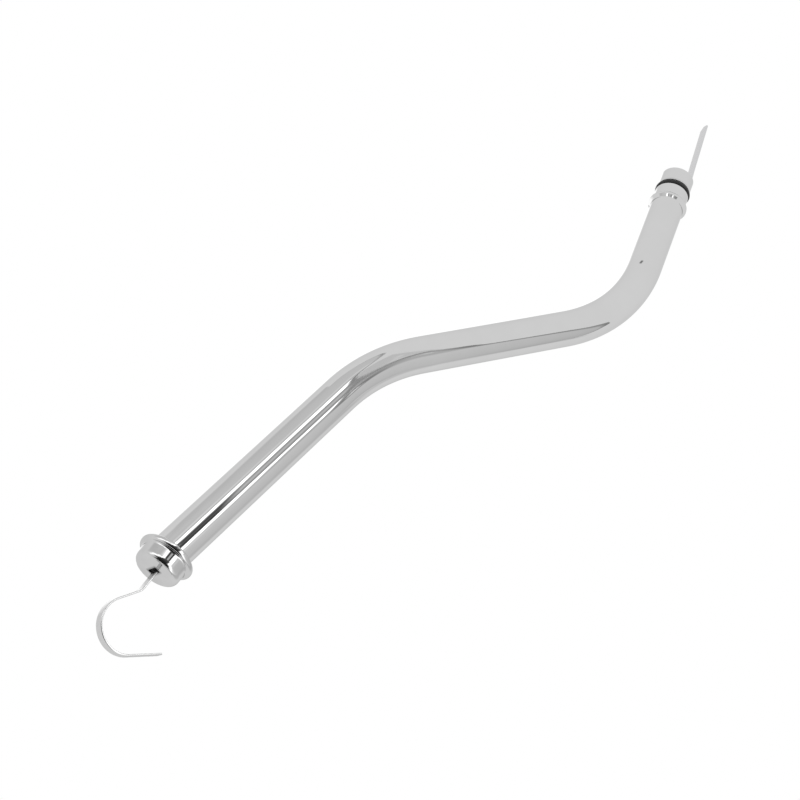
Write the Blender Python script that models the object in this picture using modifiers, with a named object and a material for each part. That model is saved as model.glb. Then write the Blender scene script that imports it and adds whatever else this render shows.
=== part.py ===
"""Automatic-transmission filler tube with its dipstick, in metres, +Z up.

The tube's centreline lies in a level plane: it runs in along +X from the mouth, bends right, then left,
and ends in a spigot with an O-ring. The dipstick's cap sits on the mouth, a little askew; its hook handle
is outside and its flat blade runs through the bore and out of the spigot.
"""
import math

import bmesh
import bpy
from mathutils import Matrix, Vector

MM = 0.001
NAME = "filler_tube_with_dipstick"
GAP = 0.3                      # between pieces that touch

# Where the centre of the cap's brim lies on the tube's axis; the origin is under the middle of the whole
BRIM_AT = (-271.37, 42.81, 18.07)

# Tube route: straight, right bend, straight, left bend, straight (mm and degrees), from the brim's plane
MOUTH_OUT = 6.7                # the tube's mouth stands this far out past the brim's plane
STRAIGHT_1, BEND_1_R, BEND_1_DEG = 169.5, 144.9, -28.57
STRAIGHT_2, BEND_2_R, BEND_2_DEG = 119.0, 131.1, 45.21
STRAIGHT_3 = 99.1
TUBE_R, WALL = 12.7, 1.25
BEND_STEP_DEG = 4.5

# Lower end, measured along the last straight
BEAD_AT, BEAD_R = 67.5, 14.8
# The bead's section: how far along from its middle, and how much of its height; steeper on the mouth's side
BEAD_SHAPE = ((-3.1, 0.0), (-2.8, 0.03), (-2.4, 0.26), (-1.5, 0.80), (-1.1, 0.95), (-0.7, 1.0), (0.3, 1.0),
              (0.9, 0.90), (1.4, 0.68), (2.2, 0.28), (2.7, 0.08), (3.3, 0.0))
LIP_R, LIP_W = 13.0, 1.6       # raised lips each side of the O-ring's groove
SPIGOT_R, SPIGOT_WALL, SPIGOT_CHAMFER = 12.6, 1.3, 0.5
GROOVE_AT, GROOVE_W, GROOVE_R, GROOVE_WALL = 82.4, 4.8, 10.2, 0.5
ORING_AT, ORING_R, ORING_SECTION = 82.8, 12.1, 3.2

# Cap: turned shell, heights along its own axis from the brim's plane
CAP_SKEW_DEG, CAP_PIVOT, STRIP_ROLL_DEG = 7.5, -2.5, 19.3
CAP_T, FACE_H, FACE_RISE, FACE_R = 0.9, 11.8, 0.3, 11.4
EDGE_R, WALL_R, WALL_TAPER = 3.5, 14.9, 0.2
BRIM_R, BRIM_ROLL_R, FILLET_R = 18.1, 2.0, 1.6
SLOT_W, SLOT_T = 7.2, 2.4      # the strip's slot through the seal and washer
SHELL_SLOT_W, SHELL_SLOT_T, SHELL_SLOT_V = 8.6, 4.0, -0.4    # the roomier punched one in the shell's face
SEAL_TOP, SEAL_R, SEAL_H, PLUG_R, PLUG_TIP_R, PLUG_END = 10.6, 12.7, 1.8, 9.0, 8.4, 1.6
WASHER_R, WASHER_T = 7.5, 0.8

# Handle strip and blade
STRIP_W, STRIP_T, BLADE_T = 6.35, 1.2, 1.0
STRIP_V = 0.6                  # the strip's centre line off the cap's axis
STRIP_INNER = -24.0            # the strip's inner end, below the brim's plane
LEG_END, KINK_R, KINK_DEG, SHANK = 24.9, 8.0, -29.4, 13.9
HOOK_R, HOOK_DEG, TAIL = 16.5, 164.2, 20.5
RIVET_AT = {"rivet_upper": -3.5, "rivet_lower": -17.0}
RIVET_R, RIVET_HEAD_R, RIVET_HEAD_T = 1.1, 2.0, 0.7
# The blade's place across the bore: left, then right, then against the spigot's wall at its end
BLADE_LEFT, BLADE_RIGHT, BLADE_EXIT = 8.4, -7.2, -9.0
BLADE_REACH = 70.0             # the blade's tip past the spigot's end
TIP_LEAN_DEG = 2.5
TIP_BEVELS = {-1: (5.0, 2.6), 1: (0.8, 0.8)}   # lower and upper corner: how far back, how far across

TUBE_SIDES, TURN_STEPS, RING_STEPS = 28, 32, 40


def new_collection(name):
    made = bpy.data.collections.new(name)
    bpy.context.scene.collection.children.link(made)
    return made


def material(name, colour, roughness, metallic):
    made = bpy.data.materials.new(name)
    made.use_nodes = True
    shader = made.node_tree.nodes["Principled BSDF"]
    shader.inputs["Base Color"].default_value = (*colour, 1.0)
    shader.inputs["Roughness"].default_value = roughness
    shader.inputs["Metallic"].default_value = metallic
    return made


def turned_left(v):
    """The level direction 90 degrees to the left of a heading."""
    return Vector((-v.y, v.x, 0.0))


class Route:
    """Straights and level bends one after another; at(s) gives the point and heading at a length s."""

    def __init__(self, start, heading_deg, legs):
        self.legs = []
        point, angle = Vector(start), math.radians(heading_deg)
        for length, radius, turn_deg in legs:
            turn = math.radians(turn_deg)
            arc = radius * abs(turn) if radius else length
            self.legs.append((point.copy(), angle, arc, radius, turn))
            point, angle = self.along(self.legs[-1], arc)
        self.length = sum(leg[2] for leg in self.legs)

    @staticmethod
    def along(leg, distance):
        point, angle, arc, radius, turn = leg
        ahead = Vector((math.cos(angle), math.sin(angle), 0.0))
        if not radius:
            return point + ahead * distance, angle
        side = math.copysign(1.0, turn)
        swept = turn * distance / arc
        centre = point + turned_left(ahead) * side * radius
        return centre + Matrix.Rotation(swept, 3, "Z") @ (point - centre), angle + swept

    def starts(self):
        reached = [0.0]
        for leg in self.legs:
            reached.append(reached[-1] + leg[2])
        return reached

    def at(self, s):
        reached = self.starts()
        index = max(i for i in range(len(self.legs)) if i == 0 or s >= reached[i] - 1e-9)
        point, angle = self.along(self.legs[index], s - reached[index])
        return point, Vector((math.cos(angle), math.sin(angle), 0.0))


TUBE_ROUTE = Route((0, 0, 0), 0.0, [
    (STRAIGHT_1, 0, 0), (0, BEND_1_R, BEND_1_DEG), (STRAIGHT_2, 0, 0), (0, BEND_2_R, BEND_2_DEG),
    (STRAIGHT_3, 0, 0)])
END_1, BENT_1, END_2, BENT_2, END_3 = TUBE_ROUTE.starts()[1:]


def smooth(t):
    t = min(max(t, 0.0), 1.0)
    return t * t * (3.0 - 2.0 * t)


def world(point):
    """A point given in mm from the brim's centre, in metres in the part's frame."""
    return (Vector(point) + Vector(BRIM_AT)) * MM


def cap_frame():
    """The dipstick's frame: local Z out of the cap, X across the strip's faces, Y along its width."""
    skew, roll = math.radians(CAP_SKEW_DEG), math.radians(STRIP_ROLL_DEG)
    out = Vector((-math.cos(skew), -math.sin(skew), 0.0))
    down = Vector((0.0, math.sin(roll), -math.cos(roll)))
    down = (down - out * down.dot(out)).normalized()
    across = out.cross(down)
    centre = Vector((-CAP_PIVOT, 0, 0)) - out * CAP_PIVOT
    turn = Matrix((across, -down, out)).transposed().to_4x4()
    return Matrix.Translation(world(centre)) @ turn


def finish(obj, mat, smooth_angle=35.0):
    obj.data.materials.clear()
    obj.data.materials.append(mat)
    obj.data.shade_smooth()
    obj.data.set_sharp_from_angle(angle=math.radians(smooth_angle))
    return obj


def link(name, data, collection, matrix=Matrix.Identity(4)):
    obj = bpy.data.objects.new(name, data)
    collection.objects.link(obj)
    obj.matrix_world = matrix
    return obj


def curve_to_mesh(obj):
    """The same object as a closed mesh, with its caps welded."""
    bpy.context.view_layer.update()
    evaluated = obj.evaluated_get(bpy.context.evaluated_depsgraph_get())
    mesh = bpy.data.meshes.new_from_object(evaluated)
    name, matrix, home = obj.name, obj.matrix_world.copy(), obj.users_collection[0]
    bpy.data.objects.remove(obj)
    shape = bmesh.new()
    shape.from_mesh(mesh)
    bmesh.ops.remove_doubles(shape, verts=shape.verts, dist=0.00001)
    bmesh.ops.recalc_face_normals(shape, faces=shape.faces)
    shape.to_mesh(mesh)
    shape.free()
    return link(name, mesh, home, matrix)


def tube_curve(name, stations, collection):
    """A round tube through stations of (length along the route, radius in mm)."""
    curve = bpy.data.curves.new(name, "CURVE")
    curve.dimensions = "3D"
    curve.twist_mode = "Z_UP"
    curve.bevel_depth = MM
    curve.bevel_resolution = (TUBE_SIDES - 4) // 2
    curve.use_fill_caps = True
    spline = curve.splines.new("POLY")
    spline.points.add(len(stations) - 1)
    for point, (s, radius) in zip(spline.points, stations):
        point.co = (*world(TUBE_ROUTE.at(s)[0]), 1.0)
        point.radius = radius
    return curve_to_mesh(link(name, curve, collection))


def turned(name, profile, collection, matrix, steps=TURN_STEPS, shell=0.0):
    """A profile of (radius, height) in mm, run down its outer side, turned about the local Z axis."""
    mesh = bpy.data.meshes.new(name)
    points = [(r * MM, 0.0, h * MM) for r, h in profile]
    mesh.from_pydata(points, [(i, i + 1) for i in range(len(points) - 1)], [])
    obj = link(name, mesh, collection, matrix)
    screw = obj.modifiers.new("turn", "SCREW")
    screw.axis = "Z"
    screw.steps = screw.render_steps = steps
    screw.use_merge_vertices = True
    screw.merge_threshold = 0.00001
    if shell:
        solidify = obj.modifiers.new("sheet", "SOLIDIFY")
        solidify.thickness = shell * MM
        solidify.offset = -1.0
        solidify.use_even_offset = True
    return obj


def arc(centre, radius, start_deg, end_deg, steps):
    """Points of an arc in the (radius, height) plane."""
    angles = [math.radians(start_deg + (end_deg - start_deg) * i / steps) for i in range(steps + 1)]
    return [(centre[0] + radius * math.cos(a), centre[1] + radius * math.sin(a)) for a in angles]


def cut(obj, cutter):
    boolean = obj.modifiers.new("cut_" + cutter.name, "BOOLEAN")
    boolean.operation = "DIFFERENCE"
    boolean.solver = "EXACT"
    boolean.object = cutter


def as_cutter(obj):
    obj.hide_render = True
    obj.display_type = "WIRE"
    return obj


def box_cutter(name, size, matrix, collection):
    shape = bmesh.new()
    bmesh.ops.create_cube(shape, size=1.0)
    bmesh.ops.scale(shape, vec=Vector(size) * MM, verts=shape.verts)
    mesh = bpy.data.meshes.new(name)
    shape.to_mesh(mesh)
    shape.free()
    return as_cutter(link(name, mesh, collection, matrix))


def bend_stations(start, end, turn_deg, radius):
    steps = math.ceil(abs(turn_deg) / BEND_STEP_DEG)
    return [(start + (end - start) * i / steps, radius) for i in range(steps + 1)]


def bead_stations():
    """The bead swells from the tube's radius to its crest and falls again."""
    rise = BEAD_R - TUBE_R
    return [(BENT_2 + BEAD_AT + along, TUBE_R + rise * part) for along, part in BEAD_SHAPE]


def outer_stations():
    rows = [(-MOUTH_OUT, TUBE_R), (80.0, TUBE_R)]
    rows += bend_stations(END_1, BENT_1, BEND_1_DEG, TUBE_R)
    rows += bend_stations(END_2, BENT_2, BEND_2_DEG, TUBE_R)
    rows += bead_stations()
    near, far = BENT_2 + GROOVE_AT - GROOVE_W / 2, BENT_2 + GROOVE_AT + GROOVE_W / 2
    rows += [(near - LIP_W, TUBE_R), (near - LIP_W / 2, LIP_R), (near - 0.1, LIP_R),
             (near, GROOVE_R), (far, GROOVE_R),
             (far + 0.1, LIP_R), (far + LIP_W / 2, LIP_R), (far + LIP_W, SPIGOT_R),
             (END_3 - SPIGOT_CHAMFER, SPIGOT_R), (END_3, SPIGOT_R - SPIGOT_CHAMFER)]
    return rows


def bore_stations():
    bore, spigot_bore, throat = TUBE_R - WALL, SPIGOT_R - SPIGOT_WALL, GROOVE_R - GROOVE_WALL
    near, far = BENT_2 + GROOVE_AT - GROOVE_W / 2, BENT_2 + GROOVE_AT + GROOVE_W / 2
    rows = [(-MOUTH_OUT - 5.0, bore), (80.0, bore)]
    rows += bend_stations(END_1, BENT_1, BEND_1_DEG, bore)
    rows += bend_stations(END_2, BENT_2, BEND_2_DEG, bore)
    rows += [(near - 2.0, bore), (near - 0.4, throat), (far + 0.4, throat), (far + 2.0, spigot_bore),
             (END_3 + 5.0, spigot_bore)]
    return rows


def build_tube(parts, cutters, mats):
    tube = finish(tube_curve("filler_tube", outer_stations(), parts), mats["chrome"])
    cut(tube, as_cutter(tube_curve("bore_cutter", bore_stations(), cutters)))
    centre, ahead = TUBE_ROUTE.at(BENT_2 + ORING_AT)
    turn = ahead.to_track_quat("Z", "Y").to_matrix().to_4x4()
    bpy.ops.mesh.primitive_torus_add(
        major_segments=RING_STEPS, minor_segments=12, major_radius=ORING_R * MM,
        minor_radius=ORING_SECTION / 2 * MM)
    ring = bpy.context.object
    ring.name = ring.data.name = "tube_oring"
    for home in list(ring.users_collection):
        home.objects.unlink(ring)
    parts.objects.link(ring)
    ring.matrix_world = Matrix.Translation(world(centre)) @ turn
    finish(ring, mats["rubber"], 180.0)


def cap_profile():
    wall_low = WALL_R + WALL_TAPER
    roll_x = BRIM_R - BRIM_ROLL_R
    fillet_x = wall_low + FILLET_R
    fillet_h = math.sqrt((FILLET_R + BRIM_ROLL_R) ** 2 - (fillet_x - roll_x) ** 2)
    meet = math.degrees(math.atan2(fillet_h, fillet_x - roll_x))
    rows = [(0.0, FACE_H + FACE_RISE), (FACE_R / 2, FACE_H + FACE_RISE * 0.75)]
    rows += arc((FACE_R, FACE_H - EDGE_R), EDGE_R, 90, 0, 6)
    rows += arc((fillet_x, fillet_h), FILLET_R, 180, 180 + meet, 4)
    rows += arc((roll_x, 0.0), BRIM_ROLL_R, meet, -80, 8)[1:]
    return rows


def build_cap(parts, cutters, mats, frame):
    shell = finish(turned("cap_shell", cap_profile(), parts, frame, shell=CAP_T), mats["chrome"])
    seal_low = SEAL_TOP - SEAL_H
    seal = finish(turned("cap_seal", [
        (0.0, SEAL_TOP), (SEAL_R - 1.7, SEAL_TOP), (SEAL_R, SEAL_TOP - 1.3), (SEAL_R, seal_low),
        (PLUG_R, seal_low), (PLUG_TIP_R, PLUG_END + 0.6), (PLUG_TIP_R - 0.6, PLUG_END), (0.0, PLUG_END)],
        parts, frame), mats["rubber"])
    top = PLUG_END - GAP
    washer = finish(turned("seal_washer", [
        (0.0, top), (WASHER_R, top), (WASHER_R, top - WASHER_T), (0.0, top - WASHER_T)],
        parts, frame), mats["steel"])
    punched = box_cutter("shell_slot_cutter", (SHELL_SLOT_T, SHELL_SLOT_W, 30.0),
                         frame @ Matrix.Translation(Vector((SHELL_SLOT_V, 0, 10.0)) * MM), cutters)
    cut(shell, punched)
    slot = box_cutter("slot_cutter", (SLOT_T, SLOT_W, 30.0),
                      frame @ Matrix.Translation(Vector((STRIP_V, 0, 10.0)) * MM), cutters)
    for obj in (seal, washer):
        cut(obj, slot)


def strip_route():
    """The handle strip's centre line: X runs out of the cap, Y across the strip's faces."""
    return Route((STRIP_INNER, STRIP_V, 0), 0.0, [
        (LEG_END - STRIP_INNER, 0, 0), (0, KINK_R, KINK_DEG), (SHANK, 0, 0), (0, HOOK_R, HOOK_DEG),
        (TAIL, 0, 0)])


def strip_outline():
    """Both faces of the strip, seen edge on, as one closed outline."""
    route = strip_route()
    reached = route.starts()
    stations = [reached[0]]
    for index, (_, _, length, radius, turn) in enumerate(route.legs):
        steps = math.ceil(abs(math.degrees(turn)) / 8.0) if radius else 1
        stations += [reached[index] + length * i / steps for i in range(1, steps + 1)]
    sides = {1: [], -1: []}
    for s in stations:
        point, ahead = route.at(s)
        for side in sides:
            sides[side].append(point + turned_left(ahead) * side * STRIP_T / 2)
    return sides[-1] + sides[1][::-1]


def rivet_frame(frame, height):
    """Local Z across the strip and the blade, at the middle of the two."""
    middle = STRIP_V - (BLADE_T + GAP) / 2
    return (frame @ Matrix.Translation(Vector((middle, 0, height)) * MM)
            @ Matrix.Rotation(math.radians(90), 4, "Y"))


def build_handle(parts, cutters, mats, frame):
    curve = bpy.data.curves.new("handle_strip", "CURVE")
    curve.dimensions = "2D"
    curve.fill_mode = "BOTH"
    curve.extrude = STRIP_W / 2 * MM
    outline = strip_outline()
    spline = curve.splines.new("POLY")
    spline.points.add(len(outline) - 1)
    spline.use_cyclic_u = True
    for point, co in zip(spline.points, outline):
        point.co = (*(co * MM), 1.0)
    # the outline's X is the cap's axis (local Z) and its Y is local X
    swap = Matrix(((0, 1, 0), (0, 0, 1), (1, 0, 0))).to_4x4()
    handle = finish(curve_to_mesh(link("handle_strip", curve, parts, frame @ swap)), mats["chrome"])
    stack = STRIP_T + BLADE_T + GAP
    holes = []
    for name, height in RIVET_AT.items():
        place = rivet_frame(frame, height)
        head = stack / 2 + GAP
        finish(turned(name, [
            (0.0, head + RIVET_HEAD_T), (RIVET_HEAD_R * 0.7, head + RIVET_HEAD_T * 0.85),
            (RIVET_HEAD_R, head + RIVET_HEAD_T * 0.3), (RIVET_HEAD_R, head), (RIVET_R, head),
            (RIVET_R, -head), (RIVET_HEAD_R, -head), (RIVET_HEAD_R, -head - RIVET_HEAD_T * 0.3),
            (RIVET_HEAD_R * 0.7, -head - RIVET_HEAD_T * 0.85), (0.0, -head - RIVET_HEAD_T)],
            parts, place, steps=16), mats["steel"])
        hole_r = RIVET_R + GAP
        holes.append(as_cutter(turned("hole_" + name, [
            (0.0, stack), (hole_r, stack), (hole_r, -stack), (0.0, -stack)], cutters, place, steps=16)))
        cut(handle, holes[-1])
    return holes


def blade_offset(s):
    """How far left of the tube's axis the blade lies at a length s along the tube."""
    start = 1.0 + (s - 27.0) * math.tan(math.radians(CAP_SKEW_DEG))
    left = start + (BLADE_LEFT - start) * smooth((s - 40.0) / 60.0)
    right = left + (BLADE_RIGHT - BLADE_LEFT) * smooth((s - END_2) / (BENT_2 - END_2))
    groove_s = BENT_2 + GROOVE_AT
    return right + (BLADE_EXIT - BLADE_RIGHT) * smooth((s - groove_s) / (END_3 - groove_s))


def blade_points(frame):
    """The blade's centre line: lapped on the strip, then along the bore, then out to its tip."""
    lap = STRIP_V - (STRIP_T + BLADE_T) / 2 - GAP
    to_mm = Matrix.Translation(-Vector(BRIM_AT)) @ Matrix.Diagonal((1 / MM, 1 / MM, 1 / MM, 1.0))
    points = [to_mm @ frame @ (Vector((lap, 0, height)) * MM) for height in (-0.8, -12.0, -26.0)]
    first = 40.0
    tip_start = END_3 - 1.0
    count = round((tip_start - first) / 9.0)
    for i in range(count + 1):
        s = first + (tip_start - first) * i / count
        point, ahead = TUBE_ROUTE.at(s)
        points.append(point + turned_left(ahead) * blade_offset(s))
    exit_at, heading = points[-1], TUBE_ROUTE.at(END_3)[1]
    lean = turned_left(heading) * math.tan(math.radians(TIP_LEAN_DEG))
    points += [exit_at + (heading + lean) * (BLADE_REACH + END_3 - tip_start) * i / 4 for i in range(1, 5)]
    return points


def corner_cutter(tip, side, cutters):
    """Bevels one corner of the tip; in the tip's frame X runs on past it and Z lies along the width."""
    back, across = TIP_BEVELS[side]
    size = 10.0
    away = Vector((across, 0, side * back)).normalized()
    middle = Vector((-back / 2, 0, side * (STRIP_W - across) / 2)) + away * size / 2
    turn = Matrix.Rotation(-math.atan2(away.z, away.x), 4, "Y")
    place = tip @ Matrix.Translation(middle * MM) @ turn
    return box_cutter("tip_bevel_upper" if side > 0 else "tip_bevel_lower", (size,) * 3, place, cutters)


def tip_frame(points):
    ahead = (points[-1] - points[-2]).normalized()
    width = Matrix.Rotation(math.radians(STRIP_ROLL_DEG), 3, ahead) @ Vector((0, 0, 1))
    turn = Matrix((ahead, width.cross(ahead), width)).transposed().to_4x4()
    return Matrix.Translation(world(points[-1])) @ turn


def build_blade(parts, cutters, mats, frame, holes):
    curve = bpy.data.curves.new("dipstick_blade", "CURVE")
    curve.dimensions = "3D"
    curve.twist_mode = "Z_UP"
    curve.extrude = STRIP_W / 2 * MM
    spline = curve.splines.new("POLY")
    points = blade_points(frame)
    spline.points.add(len(points) - 1)
    for point, co in zip(spline.points, points):
        point.co = (*world(co), 1.0)
        point.tilt = math.radians(STRIP_ROLL_DEG)
    blade = curve_to_mesh(link("dipstick_blade", curve, parts))
    sheet = blade.modifiers.new("sheet", "SOLIDIFY")
    sheet.thickness = BLADE_T * MM
    sheet.offset = 0.0
    finish(blade, mats["steel"])
    tip = tip_frame(points)
    for cutter in holes + [corner_cutter(tip, side, cutters) for side in TIP_BEVELS]:
        cut(blade, cutter)


def main():
    for obj in list(bpy.data.objects):
        bpy.data.objects.remove(obj)
    parts = new_collection(NAME)
    cutters = new_collection("cutters")
    mats = {
        "chrome": material("chrome", (0.80, 0.81, 0.82), 0.08, 1.0),
        "steel": material("steel", (0.62, 0.63, 0.64), 0.30, 1.0),
        "rubber": material("rubber", (0.02, 0.02, 0.022), 0.55, 0.0),
    }
    frame = cap_frame()
    build_tube(parts, cutters, mats)
    build_cap(parts, cutters, mats, frame)
    holes = build_handle(parts, cutters, mats, frame)
    build_blade(parts, cutters, mats, frame, holes)


main()
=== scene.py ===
"""Looks for the filler tube with its dipstick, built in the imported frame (Blender 4.5, metres, +Z up).

Every piece repeats the design's own geometry at a finer grain: swept and turned forms with rounded edges,
on the same route and in the same cap frame. Lengths below are in millimetres, as in the part's source.
"""
import math

import bmesh
import bpy
from mathutils import Matrix, Vector

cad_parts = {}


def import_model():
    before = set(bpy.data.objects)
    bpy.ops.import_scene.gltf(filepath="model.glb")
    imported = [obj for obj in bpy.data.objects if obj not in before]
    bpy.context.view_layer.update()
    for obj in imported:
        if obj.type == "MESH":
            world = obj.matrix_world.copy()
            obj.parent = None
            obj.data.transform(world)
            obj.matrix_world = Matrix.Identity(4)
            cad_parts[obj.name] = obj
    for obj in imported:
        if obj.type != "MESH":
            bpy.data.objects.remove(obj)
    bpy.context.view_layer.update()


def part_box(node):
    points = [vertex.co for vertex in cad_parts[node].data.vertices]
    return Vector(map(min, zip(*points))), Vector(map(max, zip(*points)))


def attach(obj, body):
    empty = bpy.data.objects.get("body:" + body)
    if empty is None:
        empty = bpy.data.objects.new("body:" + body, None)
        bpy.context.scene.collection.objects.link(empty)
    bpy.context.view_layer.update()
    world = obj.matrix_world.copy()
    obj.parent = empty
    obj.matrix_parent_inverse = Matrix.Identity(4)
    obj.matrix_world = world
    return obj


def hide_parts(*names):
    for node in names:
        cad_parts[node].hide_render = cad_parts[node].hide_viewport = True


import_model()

MM = 0.001
GAP = 0.3                                # clearance between neighbouring pieces

# Tube route: lengths, bend radii and turns, from the plane of the cap's brim. The mouth stands out of it.
MOUTH_OUT = 6.7
STRAIGHT_1, BEND_1_R, BEND_1_DEG = 169.5, 144.9, -28.57
STRAIGHT_2, BEND_2_R, BEND_2_DEG = 119.0, 131.1, 45.21
STRAIGHT_3 = 99.1
TUBE_R, WALL = 12.7, 1.25

# Lower end, along the last straight
BEAD_AT, BEAD_HALF, BEAD_R = 67.5, 3.6, 14.8
# The bead's corners before they are rounded: how far past its middle, how far its radius stands over
# BEAD_R or None on the tube, and the corner's own radius; steeper on the mouth's side
BEAD_CORNERS = [(-2.9, None, 0.7), (-1.0, 0.1, 1.0), (0.6, 0.05, 1.6), (2.9, None, 1.0)]
NICK_AT, NICK_DEG = 455.0, 59.8          # a small dull nick in the plating, past the second bend
LIP_R, LIP_W = 13.0, 1.6
SPIGOT_R, SPIGOT_WALL, SPIGOT_CHAMFER, SPIGOT_EASE = 12.6, 1.3, 0.5, 0.25
GROOVE_AT, GROOVE_W, GROOVE_R, GROOVE_WALL = 82.4, 4.8, 10.2, 0.5
ORING_AT, ORING_R, ORING_SECTION = 82.8, 12.1, 3.2
FLASH_H, FLASH_HALF_DEG, FLASH_AT_DEG = 0.05, 4.0, (45, 315)      # the moulding lines round the O-ring

# Cap, along its own axis from the plane of its brim
CAP_SKEW_DEG, CAP_PIVOT, STRIP_ROLL_DEG = 7.5, -2.5, 19.3
CAP_T, FACE_H, FACE_RISE, FACE_R = 0.9, 11.8, 0.3, 11.4
EDGE_R, WALL_R, WALL_TAPER = 3.5, 14.9, 0.2
BRIM_R, BRIM_ROLL_R, FILLET_R = 18.1, 2.0, 1.6
SLOT_W, SLOT_T = 7.2, 2.4
SHELL_SLOT_W, SHELL_SLOT_T, SHELL_SLOT_V = 8.6, 4.0, -0.4
CUT_L, CUT_MIDDLE = 30.0, 10.0           # the slots' cutters: length and middle, along the cap's axis
SEAL_TOP, SEAL_R, SEAL_H, PLUG_R, PLUG_TIP_R, PLUG_END = 10.6, 12.7, 1.8, 9.0, 8.4, 1.6
WASHER_R, WASHER_T = 7.5, 0.8

# Handle strip and blade
STRIP_W, STRIP_T, BLADE_T = 6.35, 1.2, 1.0
STRIP_V, STRIP_INNER = 0.6, -24.0
LEG_END, KINK_R, KINK_DEG, SHANK = 24.9, 8.0, -29.4, 13.9
HOOK_R, HOOK_DEG, TAIL = 16.5, 164.2, 20.5
RIVET_AT = {"rivet_upper": -3.5, "rivet_lower": -17.0}
RIVET_R, RIVET_HEAD_R, RIVET_HEAD_T = 1.1, 2.0, 0.7
STRIP_EDGE_R, STRIP_END_R = 0.45, 0.3
# The blade: its points against the strip along the cap's axis; then along the tube, how far left of the
# axis it lies in the first straight, past the second bend and at the spigot's end
LAP_HEIGHTS = (-0.8, -12.0, -26.0)
BLADE_LEFT, BLADE_RIGHT, BLADE_EXIT = 8.4, -7.2, -9.0
BLADE_START = (27.0, 1.0)                # where the cap's skew has brought it: (length, left of the axis)
BLADE_FIRST, BLADE_DRIFT, BLADE_SPACING = 40.0, 60.0, 9.0
BLADE_REACH, TIP_LEAN_DEG, BLADE_EDGE_R = 70.0, 2.5, 0.2
TIP_BEVELS = {-1: (5.0, 2.6), 1: (0.8, 0.8)}      # each edge's corner at the tip: (back, across)

# Fineness of the finished meshes
TUBE_SIDES, TURN_SIDES, RIVET_SIDES, ORING_STEPS = 128, 192, 48, 72
BEND_STEP_DEG, STRIP_STEP_DEG = 1.5, 3.0
SUPPORT = 0.12                 # an extra ring this far inside each end of a straight run keeps shading true

# Camera: its place from the centre of the cap's brim in metres, its turns in degrees, its lens in mm
CAMERA_FROM_BRIM = (-0.42611, -0.10190, 0.84724)
CAMERA_TURNS_DEG = (30.436, -21.399, -51.560)
CAMERA_LENS, CAMERA_SENSOR = 72.45, 36.0

# The middle of the mouth in the plane of the cap's brim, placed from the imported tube's box
tube_lo, tube_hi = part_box("filler_tube")
BRIM = Vector((tube_lo.x + MOUTH_OUT * MM, tube_hi.y - TUBE_R * MM, (tube_lo.z + tube_hi.z) / 2))


# ---------------------------------------------------------------- route and frames

def turned_left(v):
    return Vector((-v.y, v.x, 0.0))


class Route:
    """Straights and level bends one after another; at(s) gives the point and heading at a length s."""

    def __init__(self, start, legs):
        self.legs = []
        point, angle = Vector(start), 0.0
        for length, radius, turn_deg in legs:
            turn = math.radians(turn_deg)
            arc = radius * abs(turn) if radius else length
            self.legs.append((point.copy(), angle, arc, radius, turn))
            point, angle = self.along(self.legs[-1], arc)

    @staticmethod
    def along(leg, distance):
        point, angle, arc, radius, turn = leg
        ahead = Vector((math.cos(angle), math.sin(angle), 0.0))
        if not radius:
            return point + ahead * distance, angle
        side = math.copysign(1.0, turn)
        swept = turn * distance / arc
        centre = point + turned_left(ahead) * side * radius
        return centre + Matrix.Rotation(swept, 3, "Z") @ (point - centre), angle + swept

    def starts(self):
        reached = [0.0]
        for leg in self.legs:
            reached.append(reached[-1] + leg[2])
        return reached

    def at(self, s):
        reached = self.starts()
        index = max(i for i in range(len(self.legs)) if i == 0 or s >= reached[i] - 1e-9)
        point, angle = self.along(self.legs[index], s - reached[index])
        return point, Vector((math.cos(angle), math.sin(angle), 0.0))

    def stations(self, step_deg, first=0.0):
        """Lengths from first to the end: fine round the bends, with a support near each straight's ends."""
        reached = self.starts()
        rows = []
        for index, (_, _, length, radius, turn) in enumerate(self.legs):
            start = reached[index]
            if radius:
                steps = math.ceil(abs(math.degrees(turn)) / step_deg)
                rows += [start + length * i / steps for i in range(steps)]
            else:
                rows += [start, start + SUPPORT, start + length - SUPPORT]
        return [s for s in rows + [reached[-1]] if s >= first]


TUBE_ROUTE = Route((0, 0, 0), [
    (STRAIGHT_1, 0, 0), (0, BEND_1_R, BEND_1_DEG), (STRAIGHT_2, 0, 0), (0, BEND_2_R, BEND_2_DEG),
    (STRAIGHT_3, 0, 0)])
END_2, BENT_2, END_3 = TUBE_ROUTE.starts()[-3:]
STRIP_ROUTE = Route((STRIP_INNER, STRIP_V, 0), [
    (LEG_END - STRIP_INNER, 0, 0), (0, KINK_R, KINK_DEG), (SHANK, 0, 0), (0, HOOK_R, HOOK_DEG),
    (TAIL, 0, 0)])


def world(point):
    return BRIM + Vector(point) * MM


def shifted(x, y, z):
    return Matrix.Translation(Vector((x, y, z)) * MM)


def cap_frame():
    """The dipstick's frame: local Z out of the cap, X across the strip's faces, Y along its width."""
    skew, roll = math.radians(CAP_SKEW_DEG), math.radians(STRIP_ROLL_DEG)
    out = Vector((-math.cos(skew), -math.sin(skew), 0.0))
    down = Vector((0.0, math.sin(roll), -math.cos(roll)))
    down = (down - out * down.dot(out)).normalized()
    across = out.cross(down)
    centre = Vector((-CAP_PIVOT, 0, 0)) - out * CAP_PIVOT
    turn = Matrix((across, -down, out)).transposed().to_4x4()
    return Matrix.Translation(world(centre)) @ turn


CAP = cap_frame()


# ---------------------------------------------------------------- mesh tools

def arc(centre, radius, start_deg, end_deg, steps):
    angles = [math.radians(start_deg + (end_deg - start_deg) * i / steps) for i in range(steps + 1)]
    return [(centre[0] + radius * math.cos(a), centre[1] + radius * math.sin(a)) for a in angles]


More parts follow.
